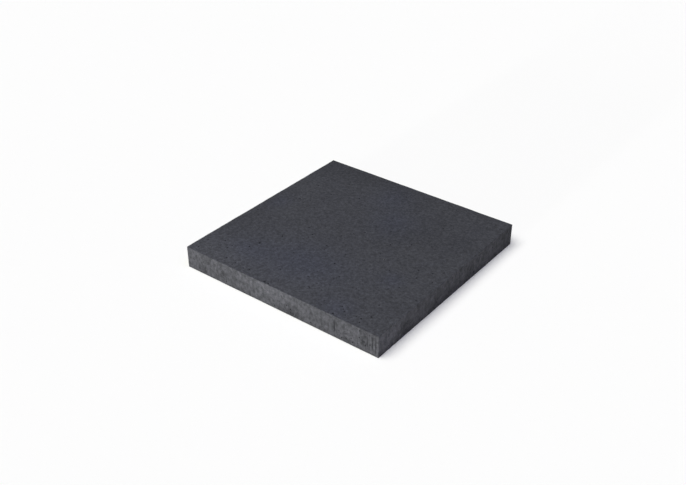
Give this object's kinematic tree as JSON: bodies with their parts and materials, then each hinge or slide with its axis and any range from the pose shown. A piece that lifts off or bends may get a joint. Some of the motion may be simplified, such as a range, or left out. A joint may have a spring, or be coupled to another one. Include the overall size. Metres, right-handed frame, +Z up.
{
  "type": "concrete paving slab",
  "caption": "Square flat paving slab of anthracite grey concrete, with straight sides and unchamfered edges, laid face up on a bed as outdoor paving.",
  "frame": {"origin": "middle of the bed face, on the ground that the slab lies on", "axes": "+Z up out of the wearing face, X and Y square to the joint faces"},
  "size_m": [0.5, 0.5, 0.05],
  "materials": {
    "anthracite_concrete": "matte"
  },
  "bodies": {
    "root": {"paving_slab": "anthracite_concrete"}
  },
  "joints": []
}
